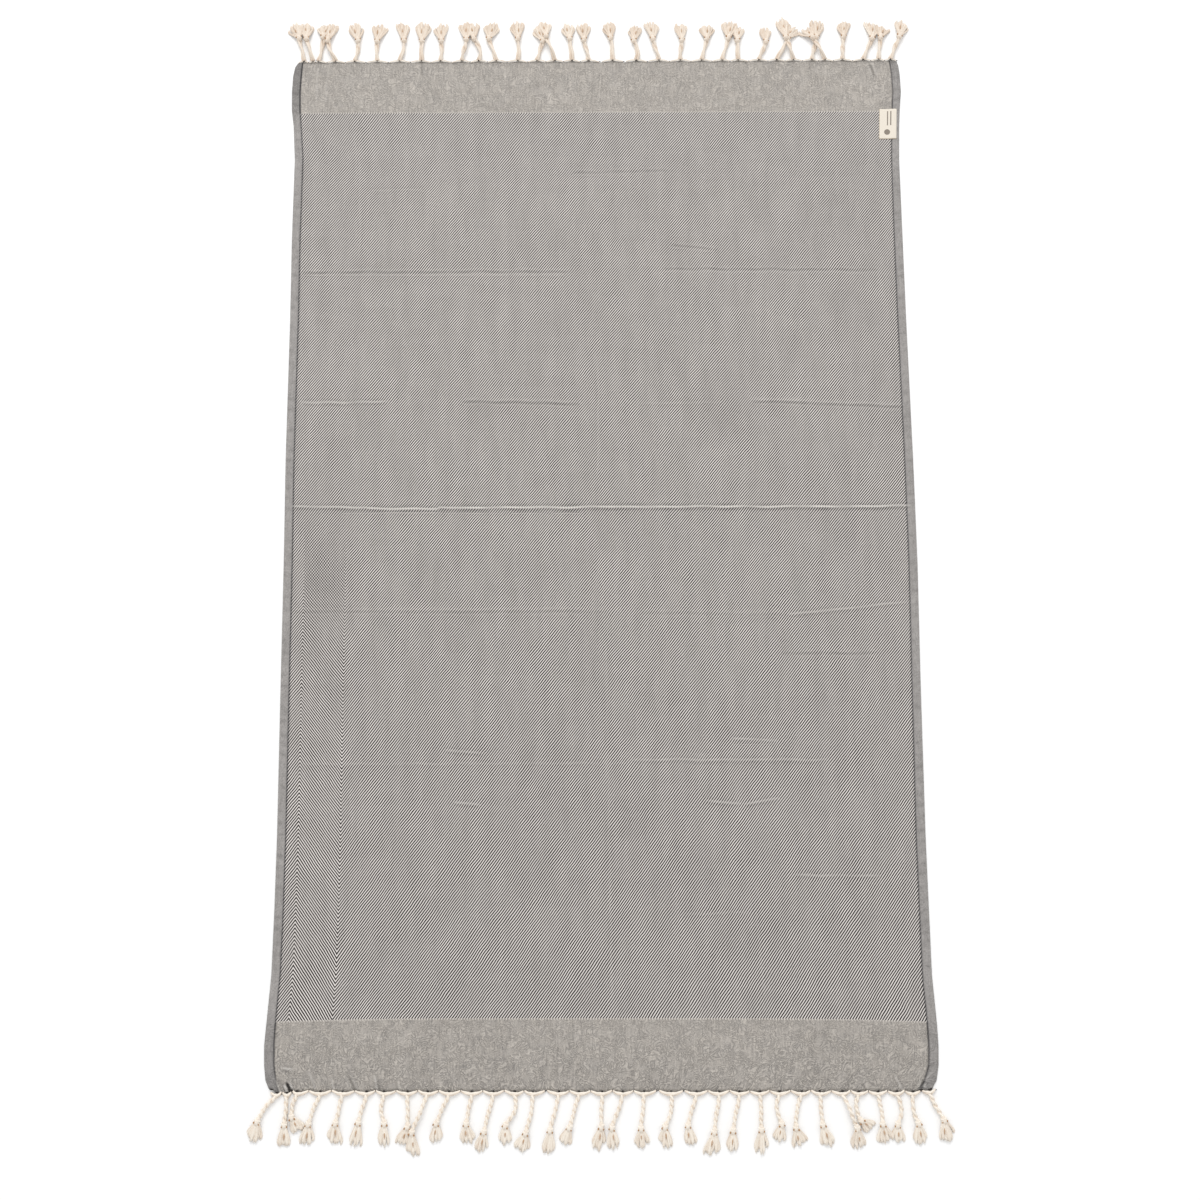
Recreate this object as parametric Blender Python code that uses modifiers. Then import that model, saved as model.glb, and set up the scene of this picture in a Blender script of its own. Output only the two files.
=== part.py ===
"""Hammam towel: one flat woven cotton cloth, laid out on a surface.

The cloth has a rolled hem down each long side and a plain band at each end. Its warp is
gathered into a comb of knotted tassels along both ends, and a small woven label is sewn
on the right-hand hem. X runs across the cloth, Y along it, and Z is up; the underside
lies on Z = 0 with the origin under the middle of the whole towel.
All sizes in the tables and constants are millimetres.
"""
from collections import namedtuple

import bmesh
import bpy

MM = 0.001

# Cloth
FIELD_THICKNESS = 1.5
HEM_THICKNESS = 2.6
HEM_WIDTH = 14.0
HEM_STEP = 1.2              # width of the slope from the hem down to the field
FIELD_COLUMNS = 12
FAR_EDGE_SKEW = 2.0         # the far end lies this much further out at the right
RIDGE_PROFILE = ((-1.0, 0.0), (-0.5, 0.5), (0.0, 1.0), (0.5, 0.5), (1.0, 0.0))

# Fringe
PIECE_GAP = 0.3             # space between pieces that touch in the real towel
ARM_RADIUS = 1.6            # yarn bundles that run along the cloth's end
ARM_REACH = 2.4             # how far the bundles stand out where a tassel starts
CORD_RADIUS = 3.0
KNOT_RADIUS = 4.2
WAIST_RADIUS = 3.4
WAIST_OFFSET = 6.0          # from the knot's middle to the gathered top of the tuft
TUFT_RADIUS = 10.5
TUFT_OVERRUN = 5.0          # cut ends past the tuft's middle
TASSEL_HEIGHT = 7.4         # a tassel lies pressed flat to this height

# Label
LABEL_LEFT = 466.5
LABEL_RIGHT = 495.5
LABEL_NEAR = 704.0
LABEL_FAR = 758.0
LABEL_THICKNESS = 0.6

# Outline of the cloth, from the far end to the near end: how far its left and right
# edges lie from the middle. The bands at the two ends are wider than the field.
Outline = namedtuple("Outline", "y left right")
OUTLINE = (
    Outline(844, -507, 498),
    Outline(837, -512, 501),
    Outline(820, -515, 503),
    Outline(790, -516, 504),
    Outline(757, -515, 501),
    Outline(728, -511, 499),
    Outline(667, -507, 497),
    Outline(526, -507, 498),
    Outline(387, -505, 499),
    Outline(150, -504, 502),
    Outline(-20, -501, 503),
    Outline(-208, -499, 501),
    Outline(-450, -496, 500),
    Outline(-560, -496, 501),
    Outline(-660, -497, 502),
    Outline(-734, -502, 507),
    Outline(-763, -504, 508),
    Outline(-792, -503, 507),
    Outline(-817, -500, 504),
    Outline(-829, -495, 499),
)

# Creases from its time folded: each runs across the cloth from the left edge to the
# right edge as a soft ridge, with its rise at the left, in the middle and at the right.
Crease = namedtuple("Crease", "y_left y_right rise_left rise_middle rise_right half_width")
CREASES = (
    Crease(469, 474, 0.9, 0.6, 0.9, 15),
    Crease(246, 239, 1.2, 1.0, 1.4, 13),
    Crease(72, 74, 2.0, 1.8, 2.0, 15),
    Crease(-99, -86, 0.9, 0.6, 1.2, 13),
    Crease(-340, -332, 0.6, 1.5, 1.2, 15),
    Crease(-706, -704, 1.0, 0.7, 1.0, 14),
)

# Tassels, from left to right. root: where it leaves the cloth's end, from the middle.
# lean: how far its knot lies to the right of the root. cord: from root to knot, away
# from the cloth. turn and tuft: the same two sizes from the knot to the tuft's middle.
# bow: how far the cord's middle swings to the right of a straight line.
Tassel = namedtuple("Tassel", "root lean cord turn tuft bow")
FAR_TASSELS = (
    Tassel(-497, -9, 42, -8, 26, 0),
    Tassel(-482, -12, 41, -1, 28, 0),
    Tassel(-473, 7, 45, 3, 20, 2),
    Tassel(-444, -14, 38, 5, 29, -2),
    Tassel(-412, 5, 38, -6, 30, 2),
    Tassel(-374, -1, 37, 4, 29, -1),
    Tassel(-337, 7, 38, -3, 30, 2),
    Tassel(-300, 0, 37, 1, 32, 0),
    Tassel(-268, 1, 37, -1, 28, 1),
    Tassel(-232, 7, 39, -1, 31, 0),
    Tassel(-204, -8, 41, -4, 26, 6),
    Tassel(-174, -13, 40, 7, 28, 0),
    Tassel(-138, 0, 40, -2, 29, 1),
    Tassel(-106, 10, 36, -10, 26, 0),
    Tassel(-76, -15, 44, -3, 26, 0),
    Tassel(-47, -4, 40, -4, 27, 0),
    Tassel(-19, -8, 38, -1, 28, 0),
    Tassel(21, -3, 41, -2, 28, 1),
    Tassel(61, -4, 36, 4, 26, 4),
    Tassel(99, -10, 39, -2, 28, 0),
    Tassel(135, 3, 37, -3, 28, -1),
    Tassel(171, 9, 39, -1, 24, 0),
    Tassel(205, 11, 40, 3, 29, 0),
    Tassel(232, -1, 36, 2, 24, 0),
    Tassel(267, 12, 33, -1, 26, 0),
    Tassel(297, 19, 40, 12, 18, 0),
    Tassel(325, -12, 40, -6, 33, 0),
    Tassel(356, 8, 41, 3, 29, 0),
    Tassel(378, -20, 40, -11, 17, 0),
    Tassel(407, 3, 42, 2, 25, 0),
    Tassel(442, 16, 39, 1, 28, 0),
    Tassel(468, 4, 40, 5, 20, 0),
    Tassel(488, 16, 42, 6, 27, 0),
)
NEAR_TASSELS = (
    Tassel(-482, -27, 40, -6, 27, -3),
    Tassel(-467, -2, 45, -1, 30, 0),
    Tassel(-452, -7, 36, 10, 20, -2),
    Tassel(-417, -16, 46, -4, 30, -1),
    Tassel(-384, -9, 45, -2, 27, 0),
    Tassel(-348, -11, 44, -5, 31, 0),
    Tassel(-322, 1, 45, -1, 30, -4),
    Tassel(-287, 1, 50, -8, 24, 0),
    Tassel(-257, -22, 58, 1, 31, 0),
    Tassel(-225, -18, 45, 0, 25, 0),
    Tassel(-191, -8, 46, 2, 26, 0),
    Tassel(-159, -13, 57, -6, 27, 0),
    Tassel(-127, -13, 48, -1, 25, 7),
    Tassel(-100, -10, 59, -7, 25, 2),
    Tassel(-61, -13, 55, -2, 30, 0),
    Tassel(-31, -14, 51, -8, 22, 0),
    Tassel(3, -1, 50, -5, 30, 0),
    Tassel(34, -16, 51, 1, 28, 1),
    Tassel(66, -5, 52, 2, 25, 0),
    Tassel(106, -9, 50, 2, 27, 5),
    Tassel(144, -13, 48, 3, 25, 0),
    Tassel(178, -8, 57, -4, 30, 0),
    Tassel(208, -10, 55, -2, 28, 0),
    Tassel(239, 1, 54, -1, 32, 0),
    Tassel(268, 2, 46, -4, 23, -6),
    Tassel(301, -10, 51, 5, 25, -3),
    Tassel(328, 3, 47, 8, 28, 0),
    Tassel(362, 20, 52, 2, 27, 0),
    Tassel(386, 1, 41, 16, 12, -5),
    Tassel(415, 5, 46, 5, 24, 1),
    Tassel(443, 0, 47, 0, 24, 6),
    Tassel(467, 6, 45, 4, 27, -4),
    Tassel(491, 20, 42, 4, 29, -1),
)


def clear_scene():
    """Start from an empty scene."""
    for item in list(bpy.data.objects):
        bpy.data.objects.remove(item, do_unlink=True)


def new_collection(name):
    """Make a collection in the scene."""
    made = bpy.data.collections.new(name)
    bpy.context.scene.collection.children.link(made)
    return made


def new_material(name, colour, roughness):
    """Make a plain material from a linear colour and a roughness."""
    made = bpy.data.materials.new(name)
    made.use_nodes = True
    shader = made.node_tree.nodes["Principled BSDF"]
    shader.inputs["Base Color"].default_value = (*colour, 1.0)
    shader.inputs["Roughness"].default_value = roughness
    shader.inputs["Metallic"].default_value = 0.0
    return made


def add_object(name, mesh, material, collection):
    """Put a mesh with its material into a collection as an object."""
    mesh.materials.clear()
    mesh.materials.append(material)
    made = bpy.data.objects.new(name, mesh)
    collection.objects.link(made)
    return made


def between(low, high, part):
    """The value a part of the way from low to high."""
    return low + (high - low) * part


def edges_at(y):
    """Left and right edge of the cloth at a place along it."""
    for far, near in zip(OUTLINE, OUTLINE[1:]):
        if far.y >= y >= near.y:
            part = (far.y - y) / (far.y - near.y)
            return between(far.left, near.left, part), between(far.right, near.right, part)
    end = OUTLINE[0] if y > OUTLINE[0].y else OUTLINE[-1]
    return end.left, end.right


def cloth_rows():
    """Rows of the cloth's grid, far end first: y at its two ends and the ridge on it."""
    rows = []
    for line in OUTLINE:
        skew = FAR_EDGE_SKEW if line is OUTLINE[0] else 0.0
        rows.append((line.y - skew, line.y + skew, None, 0.0))
    for crease in CREASES:
        for place, share in RIDGE_PROFILE:
            shift = place * crease.half_width
            rows.append((crease.y_left + shift, crease.y_right + shift, crease, share))
    return sorted(rows, key=lambda row: -(row[0] + row[1]))


def ridge_height(crease, share, across):
    """Rise of a crease, with across running from 0 at the left to 1 at the right."""
    if crease is None:
        return 0.0
    if across < 0.5:
        rise = between(crease.rise_left, crease.rise_middle, across * 2)
    else:
        rise = between(crease.rise_middle, crease.rise_right, across * 2 - 1)
    return rise * share


def cloth_columns(left, right):
    """X places of one row, with True where the place is on a hem."""
    inner_left = left + HEM_WIDTH
    inner_right = right - HEM_WIDTH
    first = inner_left + HEM_STEP
    last = inner_right - HEM_STEP
    columns = [(left, True), (inner_left, True)]
    for step in range(FIELD_COLUMNS + 1):
        columns.append((between(first, last, step / FIELD_COLUMNS), False))
    columns += [(inner_right, True), (right, True)]
    return columns


def build_cloth(material, collection):
    """The one-piece cloth: its underside is shaped, and Solidify gives it its body."""
    rows = cloth_rows()
    column_count = len(cloth_columns(*edges_at(0.0)))
    bm = bmesh.new()
    bmesh.ops.create_grid(bm, x_segments=column_count - 1, y_segments=len(rows) - 1, size=0.5)
    weights = {}
    bm.verts.index_update()
    for vert in bm.verts:
        row = rows[round((0.5 - vert.co.y) * (len(rows) - 1))]
        column = round((vert.co.x + 0.5) * (column_count - 1))
        y_left, y_right, crease, share = row
        left, right = edges_at((y_left + y_right) / 2)
        x, on_hem = cloth_columns(left, right)[column]
        across = (x - left) / (right - left)
        height = ridge_height(crease, share, across)
        weights[vert.index] = 1.0 if on_hem else FIELD_THICKNESS / HEM_THICKNESS
        vert.co = (x * MM, between(y_left, y_right, across) * MM, height * MM)
    mesh = bpy.data.meshes.new("cloth")
    bm.to_mesh(mesh)
    bm.free()
    cloth = add_object("cloth", mesh, material, collection)
    group = cloth.vertex_groups.new(name="thickness")
    for index, weight in weights.items():
        group.add([index], weight, "REPLACE")
    body = cloth.modifiers.new("body", "SOLIDIFY")
    body.thickness = HEM_THICKNESS * MM
    body.offset = 1.0
    body.vertex_group = group.name
    return cloth


def curve_mesh(name, points, radii, sides_step):
    """Mesh of a tube through points, with a radius at each, its caps welded on."""
    curve = bpy.data.curves.new(name, "CURVE")
    curve.dimensions = "3D"
    curve.bevel_depth = MM
    curve.bevel_resolution = sides_step
    curve.use_fill_caps = True
    spline = curve.splines.new("POLY")
    spline.points.add(len(points) - 1)
    for point, place, radius in zip(spline.points, points, radii):
        point.co = (place[0] * MM, place[1] * MM, place[2] * MM, 1.0)
        point.radius = radius
    guide = bpy.data.objects.new(name, curve)
    bpy.context.scene.collection.objects.link(guide)
    bpy.context.view_layer.update()
    mesh = bpy.data.meshes.new_from_object(guide.evaluated_get(bpy.context.evaluated_depsgraph_get()))
    bpy.data.objects.remove(guide, do_unlink=True)
    bpy.data.curves.remove(curve)
    return mesh


def add_tube(bm, points, radii, sides_step):
    """Add a tube to a bmesh, pressed between the surface and the tassels' height."""
    mesh = curve_mesh("tube", points, radii, sides_step)
    old = set(bm.verts)
    bm.from_mesh(mesh)
    bpy.data.meshes.remove(mesh)
    fresh = [vert for vert in bm.verts if vert not in old]
    for vert in fresh:
        vert.co.z = min(max(vert.co.z, 0.0), TASSEL_HEIGHT * MM)
    bmesh.ops.remove_doubles(bm, verts=fresh, dist=0.00001)


def end_line(outward, x):
    """Y of the cloth's end at a place across it."""
    if outward < 0:
        return OUTLINE[-1].y
    across = (x - OUTLINE[0].left) / (OUTLINE[0].right - OUTLINE[0].left)
    return OUTLINE[0].y + between(-FAR_EDGE_SKEW, FAR_EDGE_SKEW, across)


def tassel_path(tassel, start, outward):
    """Points and radii down one tassel: root, cord, knot, waist and tuft."""
    knot_x = tassel.root + tassel.lean
    knot_y = start + outward * (tassel.cord - ARM_REACH)
    length = (tassel.turn ** 2 + tassel.tuft ** 2) ** 0.5
    aim_x = tassel.turn / length
    aim_y = outward * tassel.tuft / length
    middle_x = tassel.root + tassel.lean / 2 + tassel.bow
    tip = length + TUFT_OVERRUN
    points = (
        (tassel.root, start, ARM_RADIUS),
        (middle_x, (start + knot_y) / 2, CORD_RADIUS),
        (knot_x, knot_y, KNOT_RADIUS),
        (knot_x + aim_x * WAIST_OFFSET, knot_y + aim_y * WAIST_OFFSET, WAIST_RADIUS),
        (knot_x + aim_x * tip, knot_y + aim_y * tip, TASSEL_HEIGHT / 2),
    )
    return points, (ARM_RADIUS, CORD_RADIUS, KNOT_RADIUS, WAIST_RADIUS, TUFT_RADIUS)


def build_fringe(name, tassels, outward, material, collection, cutters):
    """One comb: yarn bundles along the cloth's end, joined to a row of tassels."""
    clear = PIECE_GAP + ARM_RADIUS
    spine = []
    cords = bmesh.new()
    for tassel in tassels:
        if spine:
            middle = (spine[-1][0] + tassel.root) / 2
            spine.append((middle, end_line(outward, middle) + outward * clear, ARM_RADIUS))
        start = end_line(outward, tassel.root) + outward * (clear + ARM_REACH)
        spine.append((tassel.root, start, ARM_RADIUS))
        points, radii = tassel_path(tassel, start, outward)
        add_tube(cords, points, radii, 1)
    tassel_mesh = bpy.data.meshes.new(name + "_tassels")
    cords.to_mesh(tassel_mesh)
    cords.free()
    cutter = add_object(name + "_tassels", tassel_mesh, material, cutters)
    cutter.hide_render = True
    cutter.display_type = "WIRE"
    bm = bmesh.new()
    add_tube(bm, spine, [ARM_RADIUS] * len(spine), 0)
    mesh = bpy.data.meshes.new(name)
    bm.to_mesh(mesh)
    bm.free()
    fringe = add_object(name, mesh, material, collection)
    union = fringe.modifiers.new("tassels", "BOOLEAN")
    union.operation = "UNION"
    union.use_self = True
    union.object = cutter
    return fringe


def build_label(material, collection):
    """Woven label lying over the inner edge of the right-hand hem."""
    hem_edge = edges_at((LABEL_NEAR + LABEL_FAR) / 2)[1] - HEM_WIDTH
    columns = (
        (LABEL_LEFT, FIELD_THICKNESS),
        (hem_edge - 2 * HEM_STEP, FIELD_THICKNESS),
        (hem_edge - HEM_STEP, HEM_THICKNESS),
        (LABEL_RIGHT, HEM_THICKNESS),
    )
    bm = bmesh.new()
    bmesh.ops.create_grid(bm, x_segments=len(columns) - 1, y_segments=1, size=0.5)
    for vert in bm.verts:
        x, below = columns[round((vert.co.x + 0.5) * (len(columns) - 1))]
        y = LABEL_FAR if vert.co.y > 0 else LABEL_NEAR
        vert.co = (x * MM, y * MM, (below + PIECE_GAP) * MM)
    mesh = bpy.data.meshes.new("label")
    bm.to_mesh(mesh)
    bm.free()
    label = add_object("label", mesh, material, collection)
    body = label.modifiers.new("body", "SOLIDIFY")
    body.thickness = LABEL_THICKNESS * MM
    body.offset = 1.0
    return label


def build_towel():
    """Build every piece of the towel."""
    clear_scene()
    towel = new_collection("hammam_towel")
    cutters = new_collection("cutters")
    weave = new_material("weave", (0.39, 0.37, 0.35), 0.9)
    yarn = new_material("yarn", (0.78, 0.70, 0.60), 0.85)
    satin = new_material("label_weave", (0.80, 0.73, 0.62), 0.7)
    build_cloth(weave, towel)
    build_fringe("fringe_far", FAR_TASSELS, 1, yarn, towel, cutters)
    build_fringe("fringe_near", NEAR_TASSELS, -1, yarn, towel, cutters)
    build_label(satin, towel)


build_towel()
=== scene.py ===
"""Looks of the hammam towel: cloth, two knotted fringes and a label, around the CAD frame.

Tables and sizes are in millimetres unless a name says otherwise. X runs across the
towel, Y along it to the end with the label, and the surface it lies on is Z = 0.
"""
import math
import random
from collections import namedtuple
from functools import partial

import bpy
import numpy as np
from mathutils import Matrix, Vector


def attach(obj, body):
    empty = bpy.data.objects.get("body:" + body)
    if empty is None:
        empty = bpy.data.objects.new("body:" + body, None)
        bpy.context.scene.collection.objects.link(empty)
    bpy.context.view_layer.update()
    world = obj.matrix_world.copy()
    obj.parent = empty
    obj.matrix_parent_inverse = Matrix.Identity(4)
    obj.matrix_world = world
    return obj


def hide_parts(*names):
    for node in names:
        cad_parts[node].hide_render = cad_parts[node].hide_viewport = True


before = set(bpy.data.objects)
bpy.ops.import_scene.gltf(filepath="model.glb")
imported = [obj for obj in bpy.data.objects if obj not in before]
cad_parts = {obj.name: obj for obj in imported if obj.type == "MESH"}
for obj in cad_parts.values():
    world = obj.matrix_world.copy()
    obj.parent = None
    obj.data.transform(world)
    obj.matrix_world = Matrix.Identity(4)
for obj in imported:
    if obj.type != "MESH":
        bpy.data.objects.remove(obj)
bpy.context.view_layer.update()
MM = 0.001


def table(kind, rows):
    """A table's rows, each as the given kind of named tuple."""
    return tuple(kind(*row) for row in rows)


# ---------- sizes of the cloth

FIELD_TOP = 1.5  # height of the field's upper face
FAR_BAND_START = 752.7  # the far plain band runs from here to the far end
NEAR_BAND_START = -724.5  # the near plain band runs from here to the near end
HEM_INSET = 14.0  # nominal place of the groove beside each hem
HALF_FIELD = 486.0  # half of the field's width in the weave's own measure
FAR_EDGE_SKEW = 2.0  # the far end lies this much further out at the right
# How far the near end runs out of line at places across it: the left corner is drawn up
# and a flap of cloth hangs down beside it; the right corner is drawn up too.
CORNER_X = (-496.0, -486.0, -475.5, -463.0, 470.0, 496.0)
CORNER_Y = (3.0, 0.5, -6.5, 0.0, 0.0, 2.5)
EDGE_ROUND = 0.9  # length of the rounded lip at each end
FIELD_COLUMNS = 222
COARSE_STEP = 5.6  # row spacing in the field, along the bands and on creases
BAND_STEP = 3.4
CREASE_STEP = 2.3  # also the spacing beside the near end
CREASE_REACH = 7.0

# Outline from the far end to the near end: edges to the left and right of the middle,
# and how wide the hem is there, 14 where it isn't given.
Outline = namedtuple("Outline", "y left right hem_left hem_right", defaults=(14, 14))
OUTLINE = table(Outline, (
    (844, -507, 498, 8, 12), (837, -512, 501, 12, 14), (820, -515, 503), (790, -516, 504),
    (757, -515, 501, 14, 13), (728, -511, 499, 13, 13), (667, -507, 497, 14, 13), (526, -507, 498),
    (387, -505, 499), (150, -504, 502), (-20, -501, 503), (-208, -499, 501), (-450, -496, 500, 14, 15),
    (-560, -496, 501, 14, 15), (-660, -497, 502, 14, 15), (-734, -502, 507, 14, 15),
    (-763, -504, 508, 15, 15), (-792, -503, 507, 15, 15), (-817, -500, 503, 16, 19),
    (-829, -495, 495, 18, 22),
))

# Section of a hem, from the cloth's edge inwards, for a hem of the nominal width: the
# turned-over layers stand up, and the line of stitching pulls a groove beside them.
HemPoint = namedtuple("HemPoint", "inset height groove")
HEM_SECTION = table(HemPoint, (
    (0, 0.3, 0), (0.5, 1.5, 0), (1.6, 2.35, 0), (3.6, 2.75, 0), (7, 2.8, 0), (10.2, 2.7, 0),
    (12.2, 2.4, 0.1), (13.2, 1.6, 0.9), (14, 0.7, 1), (14.9, 1.1, 0.5), (16.2, 1.5, 0),
))

# How light the hems are, and how dark the painted shade in the grooves beside them is,
# at four places along them from the near end.
HEM_TONE_Y = (-780.0, -700.0, 720.0, 790.0)
HEM_TONE_LEFT = (0.93, 1.05, 1.05, 0.77)
HEM_TONE_RIGHT = (0.96, 1.04, 1.04, 0.95)
GROOVE_SHADE_LEFT = (0.70, 1.0, 1.0, 0.95)
GROOVE_SHADE_RIGHT = (0.72, 0.95, 0.95, 0.62)

# Creases, each a soft ridge (or a trough, where rise is negative) from one place to
# another. width is the distance over which it fades out on either side. line is the
# strength of the fold line painted along its middle: a painted highlight with painted
# shade on its sides, or the reverse where it is negative.
Crease = namedtuple("Crease", "x0 y0 x1 y1 rise width line")
CREASES = table(Crease, (
    (-492, 468, -49, 470, -0.7, 5, -0.45), (98, 475, 459, 473, -0.6, 5, -0.35),
    (-484, 245, -339, 247, 1.1, 4, 0.50), (-226, 247, -32, 243, 0.9, 4, -0.50),
    (60, 244, 200, 246, 0.4, 5, 0.15), (242, 248, 490, 238, 1.3, 4, -0.50),
    (-492, 72, -360, 70, 1.6, 4.5, 0.80), (-380, 69, -250, 68, 1.5, 4.5, 0.95),
    (-265, 70, 496, 73, 1.7, 4.5, 1.00), (-485, -99, 16, -99, 0.6, 4.5, -0.25),
    (60, -101, 300, -104, 0.3, 5, -0.15), (291, -104, 489, -83, 1, 4.5, 0.40),
    (282, -165, 439, -165, 0.5, 5, -0.30), (-465, -340, 46, -338, 0.4, 6, 0.15),
    (46, -333, 356, -333, 1.2, 5, 0.30), (-243, -318, -178, -323, 1.1, 4, 0.40),
    (-227, -398, -182, -403, 1, 4, 0.45), (202, -300, 279, -304, 1, 4, 0.35),
    (162, -395, 220, -402, 1.1, 4, 0.45), (220, -402, 278, -392, 1.1, 4, 0.50),
    (291, -510, 428, -511, 0.6, 5, 0.30), (122, -570, 228, -566, 0.4, 5, 0.15),
    (-381, 612, -290, 614, 0.5, 6, 0.15), (-50, 644, 116, 648, -0.4, 5, -0.25),
    (115, 517, 197, 508, -0.5, 5, -0.40), (-3, 318, -3, 116, 0.35, 7, 0.10),
    (9, -144, 18, -700, 0.35, 8, 0.10), (-401, 740, -394, 491, 0.3, 7, 0.08),
    (236, -548, 249, -697, 0.3, 7, 0.08), (-477, -796, -459, -799, 0.9, 3, 0.70),
    (452, 845, 461, 816, -0.6, 3, -0.80), (-474, 838, -474, 765, 0.3, 4, 0.22),
    (-458, 815, -459, 765, 0.3, 4, 0.22), (-300, 848, -300, 815, -0.3, 4, -0.45),
    (-468, -816, -457, -842, -0.9, 2.2, -2.20), (-486, -810, -472, -845, 1.3, 4.5, 0.40),
    (440, -806, 455, -838, 0.7, 4, 0.50), (484, -812, 476, -838, -0.9, 4, -1.60),
    (390, -815, 402, -838, -0.7, 3.5, -0.60), (486, -802, 501, -788, -0.5, 2.5, -0.55),
    (484, -816, 500, -800, 0.5, 2.5, 0.35), (-436, -800, -420, -838, 0.8, 4, 0.50),
    (-396, -838, -402, -808, 0.7, 4, 0.50), (-362, -838, -376, -806, 0.8, 4, -0.60),
    (-338, -806, -330, -838, 0.8, 4, 0.60), (-300, -838, -306, -812, 0.8, 4, -0.50),
))
FOLD_REACH = 7.0  # how far from its crease a fold line is worked out
FOLD_WIDTH = 2.3
ROW_CREASES = (471, 246, 240, 72, -99, -86, -165, -318, -333, -338, -400, -510)

# Slow unevenness of the cloth all over: height, its lengths across and along, and seed.
Swell = namedtuple("Swell", "height across along seed")
CLOTH_SWELL = table(Swell, ((0.22, 260.0, 46.0, 11), (0.10, 70.0, 22.0, 12)))
BAND_SWELL = Swell(0.2, 24.0, 30.0, 13)
END_SWELL = Swell(0.5, 15.0, 24.0, 14)
RIPPLE_SWELL = Swell(0.3, 120.0, 17.0, 15)
RIPPLE_Y = -690.0  # ripples beside the near band, and how far they reach
RIPPLE_REACH = 26.0
DENT_FROM = -820.0  # dents across the hems: from, to, half length and depth
DENT_TO = 835.0
DENT_HALF = 2.6
DENT_DEPTH = 0.55
DENT_SLANT = 0.35  # how far a dent runs along the hem for each mm across it
LOWEST = 0.25  # the upper face stays this far above the surface
LIP_HEIGHT = 0.5  # height of the rounded lip's outermost points

# ---------- sizes of the fringe

# How each end's warp leaves the cloth. sag: how far a crescent of gathered warp hangs from
# the cloth's end, and bulge: how far the cloth follows it. tip, middle: half thickness of a
# crescent there. twist: length of one full twist of the cords. ply: scale of their plies, and
# fleck: how much painted tan shade these get where they cross. ear: how
# far past its middle a knot's ears lie.
# tuft: half width of the tufts, reached at the part widest of their length. close: how much
# they narrow past there. straight: how evenly they widen. lobe: how far they draw into lobes.
# pale: how light the yarn is, and dusk: how grey. dark_out, dark_thick: the patch of
# painted shade at each root.
Gather = namedtuple(
    "Gather",
    "sag bulge tip middle twist ply fleck ear tuft widest close straight lobe pale dusk dark_out dark_thick",
)
FAR_GATHER = Gather(
    sag=2.5, bulge=1.8, tip=0.8, middle=1.35, twist=64.0, ply=1.10, fleck=0.22, ear=1.2,
    tuft=12.6, widest=0.80, close=0.10, straight=1.0, lobe=0.06,
    pale=0.82, dusk=0.05, dark_out=1.5, dark_thick=1.1,
)
NEAR_GATHER = Gather(
    sag=4.6, bulge=2.9, tip=1.4, middle=2.8, twist=19.0, ply=0.96, fleck=0.31, ear=3.4,
    tuft=10.6, widest=0.80, close=0.12, straight=0.8, lobe=0.12,
    pale=0.99, dusk=0.0, dark_out=-0.1, dark_thick=1.5,
)
CRESCENT_STRANDS = 3
CORNER_GAPS = ((-490.0, 3.2, 1.2), (-460.5, 2.6, 1.9), (479.0, 3.4, 1.6), (494.0, 1.6, 1.8))
PLY_RADIUS = 1.95
PLY_OFFSET = 1.6  # from the cord's axis to each ply's axis
NEIGHBOUR_GAP = 2.4  # between the crescents of two tassels
MOST_REACH = 17.0
END_REACH = 9.0
KNOT_WRAP_RADIUS = 2.9
KNOT_YARN_RADIUS = 2.1
KNOT_LENGTH = 4.2
KNOT_TURNS = 1.5
TUFT_LOCKS = 11  # clumps of cut ends in a tuft, and yarns in each clump
LOCK_YARNS = 3
TUFT_HEIGHT = 5.6
STRAND_RADIUS = 1.02
TUFT_STRETCH = 1.15  # a tuft's length over the distance to its middle
TUFT_START = 2.8  # from the knot's middle to where the tuft begins
CORD_HEIGHT = 2.6  # of a cord's axis at its root, and how much it rises
CORD_RISE = 1.3
CORD_STEP = 1.5  # length of one piece of a cord
KNOT_HEIGHT = 4.6
KNOT_LIFT = 0.5  # share of a tassel's lift that its knot keeps
CRESCENT_STEPS = 18
KNOT_STEPS = 28
TUFT_STEPS = 7
# The yarn inside a knot: place along it, radius, and how much darker than the rest, as painted shade.
KNOT_CORE = ((-5.0, 2.4, 0.1), (-2.0, 3.2, 0.2), (0.0, 3.6, 0.15), (3.0, 3.8, 0.08), (7.0, 2.6, 0.1))
# The flat body under a tuft's locks: part of its length, height, radius and tint, a painted
# tan shade seen between the locks.
TUFT_BODY = ((0.0, 3.8, 3.2, 0.7), (0.2, 3.2, 3.8, 0.66), (0.45, 2.4, 5.6, 0.66), (0.7, 1.4, 4.0, 0.7))
# A shadow between two locks, near the knot: radius and tint.
TUFT_SHADOW = ((0.5, 0.4), (1.35, 0.2), (1.2, 0.24), (0.4, 0.5))
LOWEST_YARN = 0.05  # yarn stays this far above the surface

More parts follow.
